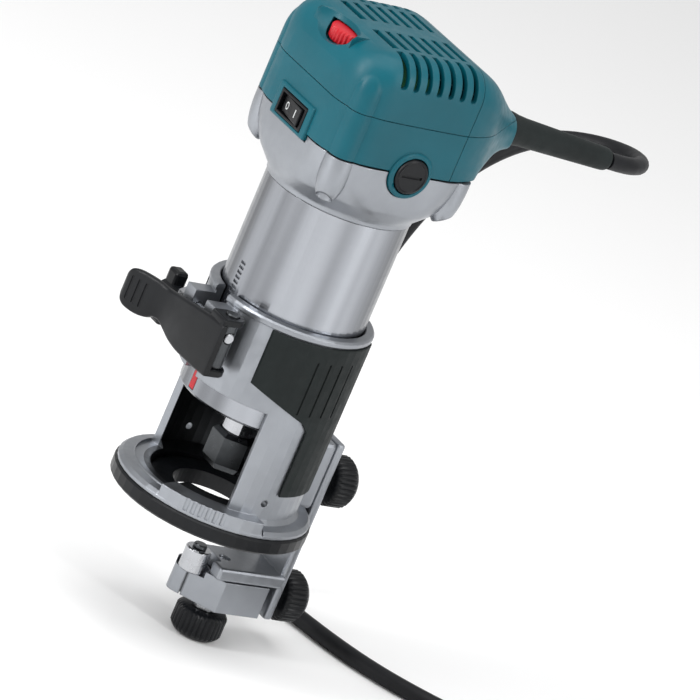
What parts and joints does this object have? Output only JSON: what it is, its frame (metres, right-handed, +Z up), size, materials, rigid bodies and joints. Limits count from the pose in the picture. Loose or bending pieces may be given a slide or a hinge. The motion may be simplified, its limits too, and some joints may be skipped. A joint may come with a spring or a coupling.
{
  "type": "trim router",
  "caption": "Corded trim router in a trimmer base with a cam lock lever, a knob-driven depth rack and a roller edge guide clamped behind the base.",
  "frame": {"origin": "centre of the sole, on the spindle axis, where the sub-base rests on the work", "axes": "+Z up along the spindle, -Y towards the front with the dial, switch and lock lever, +X towards the side whose brush cap the lever hinge is on"},
  "size_m": [0.2466, 0.2261, 0.2883],
  "materials": {
    "teal_plastic": "moulded, fine satin texture",
    "black_plastic": "moulded glass-filled nylon, satin",
    "charcoal_rubber": "soft over-moulded rubber, matt",
    "cord_rubber": "mains cord jacket, satin",
    "red_plastic": "moulded, satin",
    "cast_aluminium": "die cast, silver lacquer",
    "polished_aluminium": "turned and polished",
    "bright_steel": "turned, zinc plated",
    "dark_steel": "blackened",
    "copper": "enamelled winding",
    "brass": "stamped",
    "carbon": "pressed carbon",
    "circuit_board": "potted board"
  },
  "bodies": {
    "base": {"base_casting": "cast_aluminium", "sub_base": "black_plastic", "sole_screw_1": "bright_steel", "sole_screw_2": "bright_steel", "sole_screw_3": "bright_steel", "grip_left": "charcoal_rubber", "grip_right": "charcoal_rubber", "clamp_saddle": "black_plastic", "clamp_bolt": "bright_steel", "hinge_barrel": "dark_steel", "guide_holder": "cast_aluminium", "cord_coil": "cord_rubber", "plug_body": "cord_rubber", "plug_pin_1": "brass", "plug_pin_2": "brass"},
    "lever": {"lock_lever": "black_plastic"},
    "depth_shaft": {"depth_pinion": "bright_steel", "depth_knob": "black_plastic"},
    "holder_screw": {"holder_knob": "black_plastic", "holder_stud": "bright_steel"},
    "adjuster": {"adjust_knob": "black_plastic", "adjust_screw": "bright_steel"},
    "arm_screw": {"arm_knob": "black_plastic", "arm_stud": "bright_steel"},
    "arm": {"guide_arm": "cast_aluminium", "roller_axle": "dark_steel"},
    "roller": {"guide_roller": "bright_steel"},
    "spindle": {"spindle": "bright_steel", "spindle_sleeve": "bright_steel", "collet": "bright_steel", "collet_nut": "dark_steel", "armature_core": "copper", "commutator": "copper", "cooling_fan": "black_plastic"},
    "dial": {"speed_dial": "red_plastic"},
    "rocker": {"power_switch": "black_plastic"},
    "motor": {"lower_housing": "teal_plastic", "upper_housing": "teal_plastic", "rear_cover_lower": "teal_plastic", "rear_cover_upper": "teal_plastic", "switch_frame": "black_plastic", "brush_cap_left": "black_plastic", "brush_cap_right": "black_plastic", "cord_guard": "charcoal_rubber", "cord_lead": "cord_rubber", "scale_mark": "red_plastic", "collar": "cast_aluminium", "motor_tube": "polished_aluminium", "lower_bearing": "bright_steel", "upper_bearing": "bright_steel", "collar_screw_1": "dark_steel", "collar_screw_2": "dark_steel", "collar_screw_3": "dark_steel", "collar_screw_4": "dark_steel", "field_core": "dark_steel", "brush_holder_left": "brass", "brush_holder_right": "brass", "carbon_brush_left": "carbon", "carbon_brush_right": "carbon", "speed_controller": "circuit_board"}
  },
  "joints": [
    {"name": "motor_slide", "type": "slide", "parent": "base", "child": "motor", "axis": [0, 0, 1], "range_m": [-0.035, 0.02]},
    {"name": "depth_knob_turn", "type": "hinge", "parent": "base", "child": "depth_shaft", "pos_m": [0, -0.037, 0.078], "axis": [1, 0, 0], "range_deg": [-450, 260]},
    {"name": "lock_lever_turn", "type": "hinge", "parent": "base", "child": "lever", "pos_m": [0.02, -0.042, 0.08], "axis": [0, 0, 1], "range_deg": [0, 105]},
    {"name": "holder_screw_turn", "type": "hinge", "parent": "base", "child": "holder_screw", "pos_m": [0, 0.059, 0.0195], "axis": [0, 1, 0], "range_deg": [0, 720]},
    {"name": "adjuster_turn", "type": "hinge", "parent": "base", "child": "adjuster", "pos_m": [0, 0.059, -0.0375], "axis": [0, 1, 0], "range_deg": [-724, 2164]},
    {"name": "arm_slide", "type": "slide", "parent": "base", "child": "arm", "axis": [0, 1, 0], "range_m": [-0.006, 0.002]},
    {"name": "arm_screw_turn", "type": "hinge", "parent": "base", "child": "arm_screw", "pos_m": [0, 0.0205, -0.055], "axis": [0, 0, -1], "range_deg": [0, 720]},
    {"name": "roller_spin", "type": "hinge", "parent": "arm", "child": "roller", "pos_m": [-0.003, 0.008, -0.028], "axis": [0, 0, 1], "continuous": true},
    {"name": "spindle_spin", "type": "hinge", "parent": "motor", "child": "spindle", "pos_m": [0, 0, 0.1], "axis": [0, 0, 1], "continuous": true},
    {"name": "dial_turn", "type": "hinge", "parent": "motor", "child": "dial", "pos_m": [0, -0.0236, 0.219], "axis": [0, 0, 1], "range_deg": [-135, 135]},
    {"name": "switch_rock", "type": "hinge", "parent": "motor", "child": "rocker", "pos_m": [0, -0.0365, 0.183], "axis": [0, 0, 1], "range_deg": [0, 8]}
  ],
  "couplings": [
    {"joint": "depth_knob_turn", "follows": "motor_slide", "rad_per_m": 222.22},
    {"joint": "adjuster_turn", "follows": "arm_slide", "rad_per_m": -6283.2}
  ]
}
